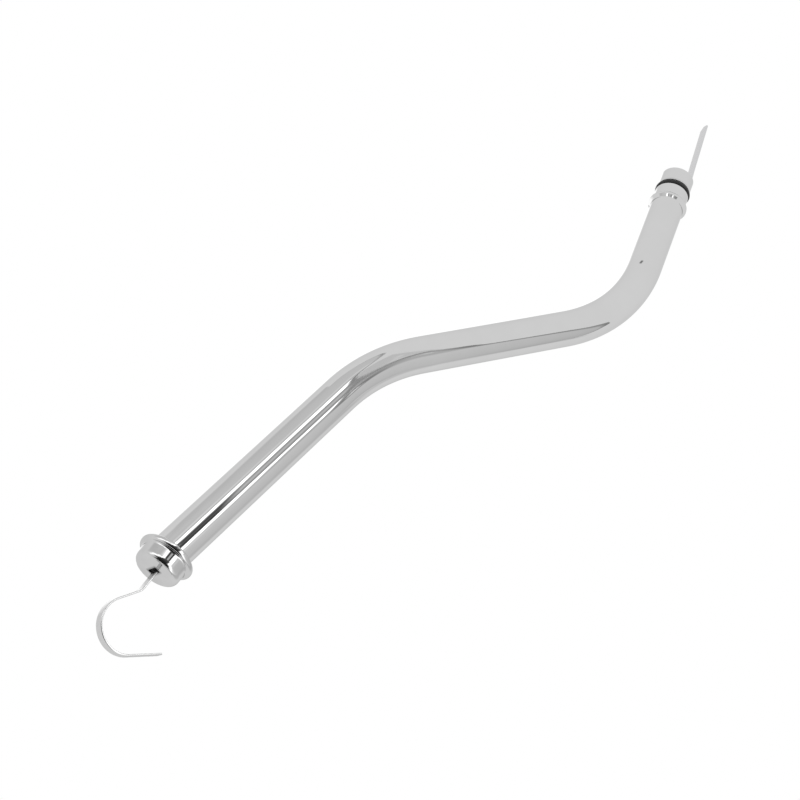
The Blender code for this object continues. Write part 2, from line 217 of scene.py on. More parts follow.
def rounded(corners, steps=5):
    """A 2-D outline through corners of (x, y, radius), each corner rounded, with supports in long runs."""
    rows = []
    for i, (x, y, radius) in enumerate(corners):
        here = Vector((x, y))
        if radius <= 0 or i in (0, len(corners) - 1):
            rows.append(here)
            continue
        back = (Vector(corners[i - 1][:2]) - here).normalized()
        ahead = (Vector(corners[i + 1][:2]) - here).normalized()
        half = back.angle(ahead) / 2
        reach = radius / math.tan(half)
        centre = here + (back + ahead).normalized() * radius / math.sin(half)
        start, end = here + back * reach - centre, here + ahead * reach - centre
        sweep = start.angle_signed(end)
        for k in range(steps + 1):
            rows.append(centre + Matrix.Rotation(-sweep * k / steps, 2) @ start)
    return supported(rows)


def supported(rows):
    """Adds a point near each end of every long straight run, so that smooth shading stays on the curves."""
    rows = [Vector(row) for row in rows]
    out = [rows[0]]
    for a, b in zip(rows, rows[1:]):
        run = b - a
        if run.length > 4 * SUPPORT:
            out += [a + run.normalized() * SUPPORT, b - run.normalized() * SUPPORT]
        out.append(b)
    return [(p.x, p.y) for p in out]


def piece_from(name, shape, matrix=Matrix.Identity(4), sharp_deg=50.0):
    mesh = bpy.data.meshes.new(name)
    bmesh.ops.recalc_face_normals(shape, faces=shape.faces)
    shape.to_mesh(mesh)
    shape.free()
    mesh.shade_smooth()
    mesh.set_sharp_from_angle(angle=math.radians(sharp_deg))
    obj = bpy.data.objects.new(name, mesh)
    bpy.context.scene.collection.objects.link(obj)
    obj.matrix_world = matrix
    return obj


def skin(shape, rings, lengths, wrap=False):
    """Joins rings of vertices with quads. UV: U is lengths (mm) along the rings, V is the way round."""
    uv = shape.loops.layers.uv.new("UVMap")
    pairs = list(zip(range(len(rings)), range(1, len(rings))))
    if wrap:
        pairs.append((len(rings) - 1, 0))
    for a, b in pairs:
        ring_a, ring_b = rings[a], rings[b]
        count = max(len(ring_a), len(ring_b))
        for k in range(count):
            after = (k + 1) % count
            corners = [(ring_a, k, k, a)]
            corners += [(ring_a, after, k + 1, a)] if len(ring_a) > 1 else []
            corners += [(ring_b, after, k + 1, b)] if len(ring_b) > 1 else []
            corners.append((ring_b, k, k, b))
            face = shape.faces.new([ring[i % len(ring)] for ring, i, _, _ in corners])
            for loop, (_, _, step, row) in zip(face.loops, corners):
                loop[uv].uv = (lengths[row] / 100.0, step / count)


def turned(name, profile, matrix=CAP, sides=TURN_SIDES, wrap=False, sharp_deg=50.0):
    """A profile of (radius, height) turned about the local Z axis; a point on the axis closes it."""
    shape = bmesh.new()
    rings, lengths, length = [], [], 0.0
    for i, (radius, height) in enumerate(profile):
        if i:
            length += math.dist(profile[i - 1], profile[i])
        lengths.append(length)
        if radius < 1e-6:
            rings.append([shape.verts.new((0, 0, height * MM))])
            continue
        angles = [2 * math.pi * k / sides for k in range(sides)]
        rings.append([shape.verts.new((radius * MM * math.cos(a), radius * MM * math.sin(a), height * MM))
                      for a in angles])
    skin(shape, rings, lengths, wrap)
    return piece_from(name, shape, matrix, sharp_deg)


def box_piece(name, size, matrix):
    shape = bmesh.new()
    bmesh.ops.create_cube(shape, size=1.0)
    bmesh.ops.scale(shape, vec=Vector(size) * MM, verts=shape.verts)
    return piece_from(name, shape, matrix)


def cut_through(obj, cutter):
    """Cuts obj with cutter for good, and removes the cutter."""
    boolean = obj.modifiers.new("cut", "BOOLEAN")
    boolean.operation = "DIFFERENCE"
    boolean.solver = "EXACT"
    boolean.object = cutter
    bpy.context.view_layer.update()
    mesh = bpy.data.meshes.new_from_object(obj.evaluated_get(bpy.context.evaluated_depsgraph_get()))
    obj.modifiers.clear()
    obj.data = mesh
    bpy.data.objects.remove(cutter)


# ---------------------------------------------------------------- materials

def nodes_of(name):
    mat = bpy.data.materials.new(name)
    mat.use_nodes = True
    tree = mat.node_tree
    return mat, tree, tree.nodes["Principled BSDF"]


def add(tree, kind, **values):
    node = tree.nodes.new(kind)
    for key, value in values.items():
        setattr(node, key, value)
    return node


def noise(tree, vector, scale, detail=3.0, roughness=0.5):
    node = add(tree, "ShaderNodeTexNoise")
    node.inputs["Scale"].default_value = scale
    node.inputs["Detail"].default_value = detail
    node.inputs["Roughness"].default_value = roughness
    tree.links.new(vector, node.inputs["Vector"])
    return node.outputs["Fac"]


def ramp(tree, value, low, high, start=0.3, end=0.7):
    """Maps value onto a blend from low to high, which are both numbers or both colours."""
    node = add(tree, "ShaderNodeMapRange" if isinstance(low, float) else "ShaderNodeValToRGB")
    if isinstance(low, float):
        for key, number in (("From Min", start), ("From Max", end), ("To Min", low), ("To Max", high)):
            node.inputs[key].default_value = number
        tree.links.new(value, node.inputs["Value"])
        return node.outputs["Result"]
    for stop, place, colour in zip(node.color_ramp.elements, (start, end), (low, high)):
        stop.position = place
        stop.color = (*colour, 1.0)
    tree.links.new(value, node.inputs["Fac"])
    return node.outputs["Color"]


def stretched(tree, source, scale):
    node = add(tree, "ShaderNodeMapping")
    node.inputs["Scale"].default_value = scale
    tree.links.new(source, node.inputs["Vector"])
    return node.outputs["Vector"]


def bump(tree, shader, height, strength, distance):
    node = add(tree, "ShaderNodeBump")
    node.inputs["Strength"].default_value = strength
    node.inputs["Distance"].default_value = distance
    tree.links.new(height, node.inputs["Height"])
    tree.links.new(node.outputs["Normal"], shader.inputs["Normal"])


def mark_tone(tree, coords, place, half, soft, depth):
    """1 away from a soft-edged box at place, falling to depth inside it. Sizes are in metres."""
    local = add(tree, "ShaderNodeMapping", vector_type="TEXTURE")
    local.inputs["Location"].default_value = place.to_translation()
    local.inputs["Rotation"].default_value = place.to_euler()
    tree.links.new(coords, local.inputs["Vector"])
    away = local.outputs[0]
    steps = (("ABSOLUTE", None), ("SUBTRACT", half), ("MAXIMUM", (0, 0, 0)), ("DIVIDE", soft))
    for operation, other in steps:
        node = add(tree, "ShaderNodeVectorMath", operation=operation)
        tree.links.new(away, node.inputs[0])
        if other is not None:
            node.inputs[1].default_value = other
        away = node.outputs[0]
    length = add(tree, "ShaderNodeVectorMath", operation="LENGTH")
    tree.links.new(away, length.inputs[0])
    return ramp(tree, length.outputs["Value"], low=float(depth), high=1.0, start=0.0, end=1.0)


def chrome(name, tone, smoothness, grain, mark=None):
    """Bright chrome plate: slow tone and gloss variation, and faint polishing lines along the work.

    tone is the plate's low and high reflectance, smoothness its low and high roughness, and grain how
    strongly the polishing lines show. mark is a darkened spot: its place, half size, soft edge and depth;
    on the tube a dull nick, on the cap painted shade round the slot.
    """
    mat, tree, shader = nodes_of(name)
    coords = add(tree, "ShaderNodeTexCoord")
    along = stretched(tree, coords.outputs["UV"], (1.0, 60.0, 1.0))
    lines = noise(tree, along, scale=14.0, detail=4.0, roughness=0.6)
    cloud = noise(tree, coords.outputs["Object"], scale=55.0, detail=4.0, roughness=0.55)
    low, high = tone
    colour = ramp(tree, cloud, [low] * 3, [high] * 3)
    # The mark darkens the colour: a dull nick on the tube, painted shade round the slot on the cap.
    if mark:
        kept = add(tree, "ShaderNodeVectorMath", operation="SCALE")
        tree.links.new(colour, kept.inputs[0])
        tree.links.new(mark_tone(tree, coords.outputs["Object"], *mark), kept.inputs["Scale"])
        colour = kept.outputs[0]
    tree.links.new(colour, shader.inputs["Base Color"])
    tree.links.new(ramp(tree, lines, *smoothness), shader.inputs["Roughness"])
    shader.inputs["Metallic"].default_value = 1.0
    shader.inputs["Specular Tint"].default_value = (0.81, 0.81, 0.81, 1.0)
    bump(tree, shader, lines, strength=grain, distance=0.00002)
    return mat


def steel(name, tone, smoothness):
    """Rolled spring steel: satin, with fine lines along its length."""
    mat, tree, shader = nodes_of(name)
    coords = add(tree, "ShaderNodeTexCoord")
    along = stretched(tree, coords.outputs["UV"], (2.0, 90.0, 1.0))
    lines = noise(tree, along, scale=10.0, detail=5.0, roughness=0.65)
    low, high = tone
    tree.links.new(ramp(tree, lines, (low, low, low * 1.01), (high, high, high * 1.01)),
                   shader.inputs["Base Color"])
    tree.links.new(ramp(tree, lines, *smoothness), shader.inputs["Roughness"])
    shader.inputs["Metallic"].default_value = 1.0
    bump(tree, shader, lines, strength=0.15, distance=0.00003)
    return mat


def rubber(name, tone):
    """Black nitrile rubber with a faint bloom and a fine moulded grain. tone is its low and high albedo."""
    mat, tree, shader = nodes_of(name)
    coords = add(tree, "ShaderNodeTexCoord")
    grain = noise(tree, coords.outputs["Object"], scale=1800.0, detail=3.0, roughness=0.6)
    bloom = noise(tree, coords.outputs["Object"], scale=160.0, detail=4.0, roughness=0.55)
    tree.links.new(ramp(tree, bloom, [tone[0]] * 3, [tone[1]] * 3), shader.inputs["Base Color"])
    tree.links.new(ramp(tree, bloom, low=0.34, high=0.52), shader.inputs["Roughness"])
    shader.inputs["Specular IOR Level"].default_value = 0.32
    bump(tree, shader, grain, strength=0.25, distance=0.00004)
    return mat


def nick_mark():
    """The nick in the tube's plating, as chrome's mark."""
    point, ahead = TUBE_ROUTE.at(NICK_AT)
    out = Matrix.Rotation(math.radians(NICK_DEG), 3, ahead) @ turned_left(ahead)
    place = Matrix.Translation(world(point + out * TUBE_R))
    return place, (0.0010, 0.0003, 0.0003), (0.0014, 0.0008, 0.0008), 0.25


def slot_shade_mark():
    """Painted shade round the slot punched in the cap, darkening the plating there, as chrome's mark."""
    half = Vector((SHELL_SLOT_T / 2, SHELL_SLOT_W / 2, 2.0)) * MM
    return CAP @ shifted(SHELL_SLOT_V, 0, FACE_H), half, (0.0016, 0.0016, 0.0016), 0.35


TUBE_CHROME = chrome("tube_chrome_plate", tone=(0.595, 0.610), smoothness=(0.02, 0.05), grain=0.10,
                     mark=nick_mark())
# The cap's plate carries painted shade round its slot.
CAP_CHROME = chrome("cap_chrome_plate", tone=(0.510, 0.600), smoothness=(0.03, 0.07), grain=0.10,
                    mark=slot_shade_mark())
STRIP_CHROME = chrome("strip_chrome_plate", tone=(0.570, 0.600), smoothness=(0.17, 0.22), grain=0.15)
BORE_STEEL = steel("bore_steel", tone=(0.30, 0.40), smoothness=(0.30, 0.45))
SPRING_STEEL = steel("spring_steel", tone=(0.575, 0.605), smoothness=(0.16, 0.26))
RIVET_STEEL = steel("rivet_steel", tone=(0.50, 0.58), smoothness=(0.22, 0.34))
RING_RUBBER = rubber("nitrile_rubber_moulded", tone=(0.009, 0.022))
# The stopper is the ring's black rubber painted lighter: painted light in the shade of the cap's slot, where
# the stopper shows.
STOPPER_RUBBER_LIGHTENED = rubber("nitrile_rubber_painted_light", tone=(0.030, 0.060))


def dress(obj, body, slot, nodes, *mats):
    """Gives a finished piece its materials and its body, and hides the imported nodes it stands for. slot is
    not used.
    """
    obj.data.transform(obj.matrix_world)
    obj.matrix_world = Matrix.Identity(4)
    for mat in mats:
        obj.data.materials.append(mat)
    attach(obj, body)
    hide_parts(*nodes)


# ---------------------------------------------------------------- the tube and its O-ring

def outer_profile():
    """(length, radius) rows of the outside, from the mouth's rim to the spigot's end."""
    near, far = BENT_2 + GROOVE_AT - GROOVE_W / 2, BENT_2 + GROOVE_AT + GROOVE_W / 2
    middle = BENT_2 + BEAD_AT
    corners = [(middle + along, TUBE_R if over is None else BEAD_R + over, radius)
               for along, over, radius in BEAD_CORNERS]
    bead = rounded([(middle - BEAD_HALF, TUBE_R, 0), *corners, (middle + BEAD_HALF, TUBE_R, 0)])
    rows = [(s, TUBE_R) for s in TUBE_ROUTE.stations(BEND_STEP_DEG, SUPPORT * 2) if s < BENT_2 + 1.0]
    rows += supported([rows[-1], bead[0]])[1:-1] + bead
    rows += rounded([
        (bead[-1][0], TUBE_R, 0), (near - LIP_W, TUBE_R, 0.6), (near - LIP_W / 2, LIP_R, 0.5),
        (near - 0.05, LIP_R, 0.15), (near, GROOVE_R, 0.15), (far, GROOVE_R, 0.15), (far + 0.05, LIP_R, 0.15),
        (far + LIP_W / 2, LIP_R, 0.5), (far + LIP_W, SPIGOT_R, 0.6), (END_3 - SPIGOT_CHAMFER, SPIGOT_R, 0.4),
        (END_3, SPIGOT_R - SPIGOT_CHAMFER, 0)])[1:]
    return rows


def bore_profile():
    """(length, radius) rows of the bore, from the spigot's end back to the mouth."""
    bore, spigot_bore, throat = TUBE_R - WALL, SPIGOT_R - SPIGOT_WALL, GROOVE_R - GROOVE_WALL
    near, far = BENT_2 + GROOVE_AT - GROOVE_W / 2, BENT_2 + GROOVE_AT + GROOVE_W / 2
    rows = rounded([
        (END_3, spigot_bore + SPIGOT_EASE, 0), (END_3 - SPIGOT_EASE, spigot_bore, 0.15),
        (far + 2.0, spigot_bore, 0.6), (far + 0.4, throat, 0.5),
        (near - 0.4, throat, 0.5), (near - 2.0, bore, 0.6), (near - 4.0, bore, 0)])
    rows += [(s, bore) for s in reversed(TUBE_ROUTE.stations(2 * BEND_STEP_DEG, SUPPORT * 2))
             if s < near - 5.0]
    return rows


def tube_profile():
    """The whole closed section: out over the mouth's rim, down the outside, back up the bore."""
    rim = WALL / 2
    mouth = arc((-MOUTH_OUT + rim, TUBE_R - rim), rim, 270, 90, 10)
    return mouth + supported([mouth[-1], (SUPPORT, TUBE_R)])[1:] + outer_profile() + bore_profile()


def build_tube():
    profile = tube_profile()
    shape = bmesh.new()
    rings, lengths, length = [], [], 0.0
    for i, (s, radius) in enumerate(profile):
        if i:
            length += math.dist(profile[i - 1], profile[i])
        lengths.append(length)
        centre, ahead = TUBE_ROUTE.at(s)
        left, up = turned_left(ahead), Vector((0, 0, 1))
        angles = [2 * math.pi * k / TUBE_SIDES for k in range(TUBE_SIDES)]
        rings.append([shape.verts.new(world(centre + (left * math.cos(a) + up * math.sin(a)) * radius))
                      for a in angles])
    skin(shape, rings, lengths, wrap=True)
    tube = piece_from("filler_tube_plated", shape, sharp_deg=60.0)
    dress(tube, "tube", "chromed_tube", ["filler_tube"], TUBE_CHROME, BORE_STEEL)
    outside = len(profile) - len(bore_profile())
    for face in tube.data.polygons:
        face.material_index = 1 if face.index // TUBE_SIDES >= outside else 0


def build_oring():
    """A moulded ring: round, pressed flat where it sits on the groove's floor, with its two flash lines."""
    centre, ahead = TUBE_ROUTE.at(BENT_2 + ORING_AT)
    place = Matrix.Translation(world(centre)) @ ahead.to_track_quat("Z", "Y").to_matrix().to_4x4()
    section = []
    for k in range(ORING_STEPS):
        angle = 360.0 * k / ORING_STEPS
        on_flash = min(abs(angle - at) for at in FLASH_AT_DEG) < FLASH_HALF_DEG
        radius = ORING_SECTION / 2 - (0.0 if on_flash else FLASH_H)
        a = math.radians(angle)
        section.append((max(ORING_R + radius * math.cos(a), GROOVE_R + GAP), radius * math.sin(a)))
    ring = turned("oring_moulded", section, place, wrap=True, sharp_deg=180)
    dress(ring, "tube", "black_rubber", ["tube_oring"], RING_RUBBER)


# ---------------------------------------------------------------- the cap

def cap_profile():
    wall_low = WALL_R + WALL_TAPER
    roll_x = BRIM_R - BRIM_ROLL_R
    fillet_x = wall_low + FILLET_R
    fillet_h = math.sqrt((FILLET_R + BRIM_ROLL_R) ** 2 - (fillet_x - roll_x) ** 2)
    meet = math.degrees(math.atan2(fillet_h, fillet_x - roll_x))
    face = [(FACE_R * t / 12, FACE_H + FACE_RISE * (1 - (t / 12) ** 2)) for t in range(13)]
    rows = face + arc((FACE_R, FACE_H - EDGE_R), EDGE_R, 90, 0, 20)[1:]
    rows += arc((fillet_x, fillet_h), FILLET_R, 180, 180 + meet, 14)
    rows += arc((roll_x, 0.0), BRIM_ROLL_R, meet, -80, 24)[1:]
    return supported(rows)


def build_cap():
    shell = turned("cap_stamping", cap_profile())
    sheet = shell.modifiers.new("sheet", "SOLIDIFY")
    sheet.thickness = CAP_T * MM
    sheet.offset = -1.0
    sheet.use_even_offset = True
    slot = (SLOT_T, SLOT_W, CUT_L), CAP @ shifted(STRIP_V, 0, CUT_MIDDLE)
    punched = (SHELL_SLOT_T, SHELL_SLOT_W, CUT_L), CAP @ shifted(SHELL_SLOT_V, 0, CUT_MIDDLE)
    cut_through(shell, box_piece("punched_slot", *punched))
    dress(shell, "dipstick", "chromed_cap", ["cap_shell"], CAP_CHROME)
    seal_low = SEAL_TOP - SEAL_H
    seal = turned("stopper_rubber", rounded([
        (0.0, SEAL_TOP, 0), (SEAL_R - 1.7, SEAL_TOP, 0.4), (SEAL_R, SEAL_TOP - 1.3, 0.3),
        (SEAL_R, seal_low, 0.3), (PLUG_R, seal_low, 0.4), (PLUG_TIP_R, PLUG_END + 0.6, 0.4),
        (PLUG_TIP_R - 0.6, PLUG_END, 0.3), (0.0, PLUG_END, 0)]))
    cut_through(seal, box_piece("slot_cut", *slot))
    # The stopper takes the lighter rubber, painted light for its place in the slot's shade.
    dress(seal, "dipstick", "black_rubber", ["cap_seal"], STOPPER_RUBBER_LIGHTENED)
    top = PLUG_END - GAP
    washer = turned("washer_pressed", rounded([
        (0.0, top, 0), (WASHER_R, top, 0.2), (WASHER_R, top - WASHER_T, 0.2), (0.0, top - WASHER_T, 0)]))
    cut_through(washer, box_piece("slot_cut", *slot))
    dress(washer, "dipstick", "plain_steel", ["seal_washer"], RIVET_STEEL)


# ---------------------------------------------------------------- handle strip, blade and rivets

def strip_section(low, high, thickness, radius):
    """A flat bar's section with rounded edges: points of (across the faces, along the width)."""
    corners = [(1, high), (-1, high), (-1, low), (1, low)]
    rows = []
    for k, (side, edge) in enumerate(corners):
        inward = -1 if edge == high else 1
        centre = (side * (thickness / 2 - radius), edge + inward * radius)
        rows += arc(centre, radius, 90 * k, 90 * k + 90, 7)
    return rows


def ribbon(name, stations, thickness, edge):
    """A flat bar with round edges, through stations of (centre in metres, direction across the faces,
    direction along the width, low edge, high edge, inset). The inset draws the section in at both ends."""
    shape = bmesh.new()
    rings, lengths, length = [], [], 0.0
    last = len(stations) - 1
    for i, (centre, across, width, low, high, ease) in enumerate(stations):
        if i:
            length += (centre - stations[i - 1][0]).length / MM
        lengths.append(length)
        section = strip_section(low + ease, high - ease, thickness - 2 * ease, max(edge - ease, 0.05))
        rings.append([shape.verts.new(centre + (across * x + width * y) * MM) for x, y in section])
    skin(shape, rings, lengths)
    shape.faces.new(rings[0])
    shape.faces.new(rings[last])
    return piece_from(name, shape, sharp_deg=60.0)


def eased(samples, radius, steps=4):
    """The same run with each end drawn in round a quarter circle: every row gains its inset."""
    start, end = samples[0][0], samples[-1][0]
    begin, back = (samples[1][0] - start).normalized(), (samples[-2][0] - end).normalized()
    angles = [math.pi / 2 * k / steps for k in range(steps + 1)]
    quarter = [(1 - math.cos(a), 1 - math.sin(a)) for a in angles]
    rows = [(start + begin * radius * d * MM, *samples[0][1:], radius * inset) for d, inset in quarter]
    rows += [(*sample, 0.0) for sample in samples[1:-1]]
    return rows + [(end + back * radius * d * MM, *samples[-1][1:], radius * inset)
                   for d, inset in reversed(quarter)]


def build_strip():
    across_axis, width_axis, out_axis = (CAP.to_3x3().col[k] for k in range(3))
    samples = []
    for s in STRIP_ROUTE.stations(STRIP_STEP_DEG):
        point, ahead = STRIP_ROUTE.at(s)
        left = turned_left(ahead)
        centre = CAP @ (Vector((point.y, 0, point.x)) * MM)
        across = out_axis * left.x + across_axis * left.y
        samples.append((centre, across, width_axis, -STRIP_W / 2, STRIP_W / 2))
    strip = ribbon("hook_strip", eased(samples, STRIP_END_R), STRIP_T, STRIP_EDGE_R)
    dress(strip, "dipstick", "chromed_strip", ["handle_strip"], STRIP_CHROME)
    return strip


def smooth(t):
    t = min(max(t, 0.0), 1.0)
    return t * t * (3.0 - 2.0 * t)


def blade_offset(s):
    """How far left of the tube's axis the blade lies at a length s of the tube's route."""
    start_s, start_left = BLADE_START
    start = start_left + (s - start_s) * math.tan(math.radians(CAP_SKEW_DEG))
    left = start + (BLADE_LEFT - start) * smooth((s - BLADE_FIRST) / BLADE_DRIFT)
    right = left + (BLADE_RIGHT - BLADE_LEFT) * smooth((s - END_2) / (BENT_2 - END_2))
    groove_s = BENT_2 + GROOVE_AT
    return right + (BLADE_EXIT - BLADE_RIGHT) * smooth((s - groove_s) / (END_3 - groove_s))


def blade_points():
    """The blade's centre line in metres: lapped on the strip, along the bore, out to its tip."""
    lap = STRIP_V - (STRIP_T + BLADE_T) / 2 - GAP
    points = [CAP @ (Vector((lap, 0, height)) * MM) for height in LAP_HEIGHTS]
    tip_start = END_3 - 1.0
    count = round((tip_start - BLADE_FIRST) / BLADE_SPACING)
    for i in range(count + 1):
        s = BLADE_FIRST + (tip_start - BLADE_FIRST) * i / count
        point, ahead = TUBE_ROUTE.at(s)
        points.append(world(point + turned_left(ahead) * blade_offset(s)))
    heading = TUBE_ROUTE.at(END_3)[1]
    lean = turned_left(heading) * math.tan(math.radians(TIP_LEAN_DEG))
    exit_at, reach = points[-1], BLADE_REACH + END_3 - tip_start
    back, _ = TIP_BEVELS[-1]
    for along in (0.25, 0.5, 0.75, 1 - back / reach):
        points.append(exit_at + (heading + lean) * reach * along * MM)
    straight = points[-1]
    return points + [straight + (heading + lean) * back * MM * i / 12 for i in range(1, 13)]


def eased_curve(points, per):
    """Catmull-Rom through points, with per steps in each long span."""
    rows = []
    for i in range(len(points) - 1):
        p0, p1, p2 = points[max(i - 1, 0)], points[i], points[i + 1]
        p3 = points[min(i + 2, len(points) - 1)]
        steps = per if (p2 - p1).length > 2 * MM else 1
        for k in range(steps):
            t = k / steps
            rows.append(0.5 * (2 * p1 + (p2 - p0) * t + (2 * p0 - 5 * p1 + 4 * p2 - p3) * t * t
                               + (3 * p1 - p0 - 3 * p2 + p3) * t ** 3))
    return rows + [points[-1]]


def build_blade():
    points = eased_curve(blade_points(), 5)
    roll = math.radians(STRIP_ROLL_DEG)
    samples = []
    for i, point in enumerate(points):
        ahead = (points[min(i + 1, len(points) - 1)] - points[max(i - 1, 0)]).normalized()
        width = Matrix.Rotation(roll, 3, ahead) @ Vector((0, 0, 1))
        to_tip = (points[-1] - point).length / MM
        edges = []
        for side in (-1, 1):
            back, across = TIP_BEVELS[side]
            edges.append(side * (STRIP_W / 2 - across * max(0.0, 1 - to_tip / back)))
        samples.append((point, width.cross(ahead), width, *edges))
    blade = ribbon("spring_blade", eased(samples, BLADE_EDGE_R), BLADE_T, BLADE_EDGE_R)
    dress(blade, "dipstick", "plain_steel", ["dipstick_blade"], SPRING_STEEL)
    return blade


def build_rivets(strip, blade):
    stack = STRIP_T + BLADE_T + GAP
    middle = STRIP_V - (BLADE_T + GAP) / 2
    head = stack / 2 + GAP
    dome_r = (RIVET_HEAD_R ** 2 + RIVET_HEAD_T ** 2) / (2 * RIVET_HEAD_T)
    sweep = math.degrees(math.asin(RIVET_HEAD_R / dome_r))
    dome = arc((0.0, head + RIVET_HEAD_T - dome_r), dome_r, 90, 90 - sweep, 10)
    side = dome + rounded([(*dome[-1], 0), (RIVET_HEAD_R, head + 0.05, 0), (RIVET_R, head, 0)])[1:]
    profile = side + [(r, -h) for r, h in reversed(side)]
    hole_r, deep = RIVET_R + GAP, 2 * stack
    for name, height in RIVET_AT.items():
        place = CAP @ shifted(middle, 0, height) @ Matrix.Rotation(math.radians(90), 4, "Y")
        for sheet in (strip, blade):
            drill = turned("rivet_hole", [(0, deep), (hole_r, deep), (hole_r, -deep), (0, -deep)],
                           place, RIVET_SIDES)
            cut_through(sheet, drill)
        rivet = turned(name + "_domed", profile, place, RIVET_SIDES)
        dress(rivet, "dipstick", "plain_steel", [name], RIVET_STEEL)


# ---------------------------------------------------------------- floor, light and camera

def emitter(name, tone=None):
    """Plain light: one strength all over, or the strength painted on the mesh as the attribute 'tone'."""
    mat = bpy.data.materials.new(name)
    mat.use_nodes = True
    tree = mat.node_tree
    tree.nodes.clear()
    emission = add(tree, "ShaderNodeEmission")
    if tone is None:
        painted = add(tree, "ShaderNodeAttribute", attribute_name="tone")
        tree.links.new(painted.outputs["Color"], emission.inputs["Color"])
    else:
        emission.inputs["Strength"].default_value = tone
    output = add(tree, "ShaderNodeOutputMaterial")
    tree.links.new(emission.outputs[0], output.inputs["Surface"])
    return mat


def tent_sheet(name, rows):
    """One sheet of the light tent, through rows of (point, tone). Only reflections show it."""
    mesh = bpy.data.meshes.new(name)
    width = len(rows[0])
    points = [point for row in rows for point, _ in row]
    faces = [(r * width + c, r * width + c + 1, (r + 1) * width + c + 1, (r + 1) * width + c)
             for r in range(len(rows) - 1) for c in range(width - 1)]
    mesh.from_pydata(points, [], faces)
    tones = mesh.attributes.new("tone", "FLOAT_COLOR", "POINT")
    for item, (_, tone) in zip(tones.data, [pair for row in rows for pair in row]):
        item.color = (tone, tone, tone, 1.0)
    mesh.materials.append(emitter(name))
    sheet = bpy.data.objects.new(name, mesh)
    bpy.context.scene.collection.objects.link(sheet)
    sheet.visible_camera = sheet.visible_diffuse = sheet.visible_shadow = False


def between(x, table):
    """Straight-line reading of a table of (x, value) rows."""
    for (x0, v0), (x1, v1) in zip(table, table[1:]):
        if x <= x1:
            return v0 + (v1 - v0) * max(0.0, x - x0) / (x1 - x0)
    return table[-1][1]


# The tent is a box round the first straight. Angles run round the tube's axis from +Y towards +Z, and each
# cross-section lists (angle, tone): the near wall, the left light strip, the slot, the right strip and the
# far wall. TENT_ROWS puts the cross-sections along x, and lengths here are in metres.
ROOF, LEFT_WALL, RIGHT_WALL, FIRST_DEG, LAST_DEG = 0.17, 0.157, 0.193, -5, 189
TENT_RISE = 0.0125                       # how far the tent's axis is above the tube's
TENT_AT_TUBE = [
    (0, 1.00), (10, 0.75), (24, 0.77), (47, 0.84), (59, 0.80), (66, 1.02), (70, 1.00), (72, 0.72),
    (77.5, 0.72), (78.3, 2.50), (90, 2.50), (91, 0.80), (95, 0.30), (98, 0.09), (103, 0.10),
    (107, 0.16), (112, 0.08), (118, 0.07), (119.5, 0.20), (120.6, 0.90), (121.5, 2.50), (133, 2.50),
    (134, 1.10), (139, 1.00), (144, 1.05), (150, 0.87), (165, 0.83), (189, 0.78)]
TENT_MIDDLE = [
    (-4, 1.00), (8, 0.75), (24, 0.78), (47, 0.83), (60, 0.84), (66, 1.02), (69, 0.98), (72, 0.72),
    (77, 0.72), (78, 2.50), (90, 2.50), (91, 0.80), (95, 0.45), (98, 0.50), (103, 0.72), (108, 0.76),
    (112, 0.58), (116, 0.40), (119.5, 0.40), (120.6, 0.90), (121.5, 2.50), (133, 2.50), (134, 1.10),
    (138, 0.86), (144, 0.92), (150, 0.87), (165, 0.83), (189, 0.78)]
TENT_FAR = [
    (-5, 0.92), (4, 0.73), (24, 0.79), (47, 0.81), (59, 0.82), (65, 1.02), (68, 0.85), (71, 0.74),
    (76, 0.74), (77, 2.50), (89, 2.50), (90, 0.65), (95, 0.42), (99, 0.62), (104, 0.76), (108, 0.74),
    (113, 0.48), (118, 0.42), (120.6, 0.90), (121.5, 2.50), (129, 2.50), (131, 0.80), (134, 0.62),
    (138, 0.66), (144, 0.87), (160, 0.83), (189, 0.78)]
TENT_END_TONES = TENT_FAR[:-3] + [(144, 0.84), (160, 0.77), (172, 0.73), (180, 0.67), (189, 0.60)]
TENT_AT_CAP = [
    (3, 1.00), (13, 0.80), (47, 0.84), (62, 0.84), (68, 1.00), (74, 1.80), (77, 2.30), (87, 2.30),
    (90, 0.90), (91.5, 0.20), (93, 0.05), (97, 0.06), (99.5, 0.40), (102, 0.72), (106, 0.76),
    (108, 0.40), (109.5, 0.05), (113.5, 0.04), (115, 0.30), (116.5, 2.30), (129, 2.30), (134, 1.15),
    (150, 0.87), (165, 0.83), (189, 0.85)]
TENT_ROWS = [
    (-0.57, [(0, 1.00), (45, 0.90), (60, 0.03), (150, 0.02), (189, 0.05)]),
    (-0.52, [(0, 1.00), (40, 0.90), (56, 0.03), (140, 0.02), (158, 0.80), (175, 1.80), (189, 1.80)]),
    (-0.46, [(0, 0.90), (14, 0.95), (24, 1.20), (40, 1.00), (52, 0.12), (60, 0.02), (130, 0.02), (140, 0.50),
             (150, 2.30), (189, 2.30)]),
    (-0.40, [(0, 0.95), (14, 1.00), (22, 1.90), (52, 1.90), (64, 0.50), (70, 0.04), (121, 0.04), (127, 1.20),
             (131, 2.30), (155, 2.30), (168, 1.30), (189, 1.10)]),
    (-0.34, [(0, 1.00), (20, 1.00), (30, 1.30), (36, 2.30), (64, 2.30), (74, 0.60), (78, 0.06), (119, 0.06),
             (122, 1.00), (125, 2.30), (142, 2.30), (150, 1.20), (165, 0.95), (189, 0.95)]),
    (-0.295, [(3, 1.00), (13, 0.85), (47, 0.90), (57, 1.00), (62, 2.30), (82, 2.30), (85, 0.10), (119, 0.10),
              (120.5, 2.30), (133, 2.30), (138, 1.10), (150, 0.90), (165, 0.85), (189, 0.88)]),
    (-0.225, TENT_AT_TUBE), (-0.206, TENT_AT_CAP), (-0.182, TENT_AT_CAP), (-0.175, TENT_AT_TUBE),
    (-0.132, TENT_AT_TUBE), (-0.108, TENT_MIDDLE), (-0.03, TENT_FAR)]
